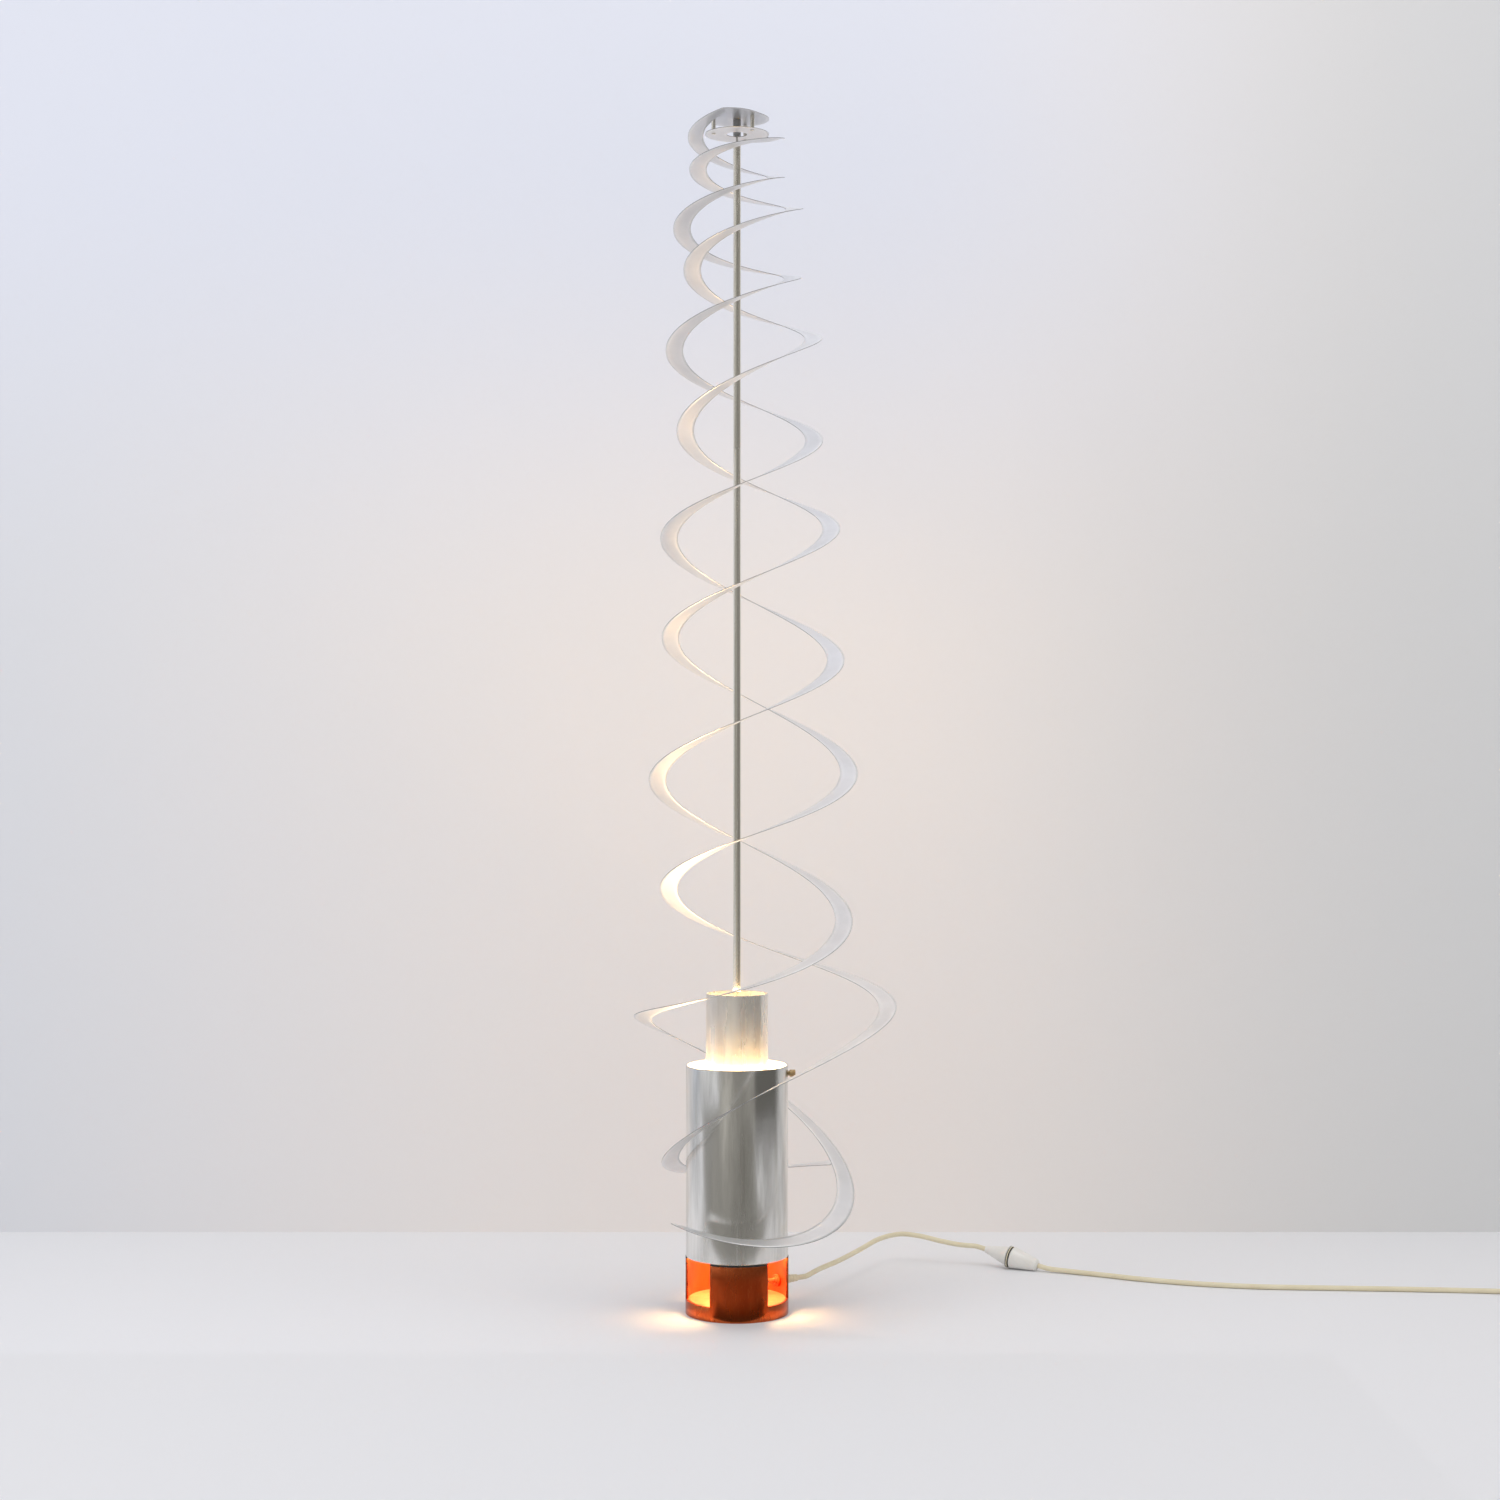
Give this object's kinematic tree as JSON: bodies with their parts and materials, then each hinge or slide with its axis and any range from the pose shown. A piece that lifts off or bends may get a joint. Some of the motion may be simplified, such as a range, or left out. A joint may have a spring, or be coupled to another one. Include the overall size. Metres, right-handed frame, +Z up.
{
  "type": "kinetic light sculpture",
  "caption": "Lit kinetic sculpture: thin metal spirals hang from a needle on a slim rod and turn in the warm air above a tube lamp on a copper ring base, with a flex and plug.",
  "frame": {"origin": "on the rod's axis at the underside of the base", "axes": "+Z up along the rod; -Y is the front, the side the picture shows; +X is to the right, where the flex leaves"},
  "size_m": [1.1784, 0.4384, 1.4054],
  "materials": {
    "copper": "satin copper",
    "aluminium": "satin",
    "thin_sheet": "bright",
    "steel": "plain",
    "brass": "plain",
    "black_rubber": "matt",
    "black_plastic": "matt",
    "white_plastic": "satin",
    "cream_vinyl": "satin",
    "ceramic": "glazed",
    "bulb_glass": "frosted"
  },
  "bodies": {
    "base": {"base_ring": "copper", "base_floor": "copper", "main_tube": "aluminium", "chimney_tube": "aluminium", "rod_lower": "aluminium", "rod_upper": "aluminium", "lamp_bracket": "aluminium", "base_weight": "steel", "rod_stud": "steel", "rod_washer": "steel", "rod_nut": "steel", "rod_collar": "steel", "rod_collar_screw": "steel", "chimney_spider": "steel", "needle": "steel", "inline_pin_1": "steel", "inline_pin_2": "steel", "mains_pin_1": "steel", "mains_pin_2": "steel", "holder_nut_front": "brass", "holder_nut_right": "brass", "holder_nut_left": "brass", "bulb_cap_front": "brass", "bulb_cap_right": "brass", "bulb_cap_left": "brass", "pad_front": "black_rubber", "pad_right": "black_rubber", "pad_left": "black_rubber", "lamp_wire_front": "black_plastic", "lamp_wire_right": "black_plastic", "lamp_wire_left": "black_plastic", "supply_core_a": "black_plastic", "supply_core_b": "black_plastic", "cord_gland": "black_plastic", "gland_nut": "black_plastic", "coil_tie": "black_plastic", "terminal_block": "white_plastic", "inline_plug": "white_plastic", "inline_socket": "white_plastic", "mains_plug": "white_plastic", "inner_lead": "cream_vinyl", "lamp_flex": "cream_vinyl", "supply_flex": "cream_vinyl", "cord_coil": "cream_vinyl", "plug_lead": "cream_vinyl", "lampholder_front": "ceramic", "lampholder_right": "ceramic", "lampholder_left": "ceramic", "bulb_front": "bulb_glass", "bulb_right": "bulb_glass", "bulb_left": "bulb_glass"},
    "rotor": {"spiral_upper": "thin_sheet", "spiral_lower": "thin_sheet", "hub_post_1": "steel", "hub_post_2": "steel", "hub_post_3": "steel", "bearing_bush": "black_plastic"},
    "thumb_screw": {"thumb_screw": "brass"}
  },
  "joints": [
    {"name": "rotor_spin", "type": "hinge", "parent": "base", "child": "rotor", "pos_m": [0, 0, 1.398], "axis": [0, 0, 1], "continuous": true},
    {"name": "thumb_screw_turn", "type": "hinge", "parent": "base", "child": "thumb_screw", "pos_m": [0.06, 0, 0.281], "axis": [1, 0, 0], "range_deg": [0, 360]}
  ]
}
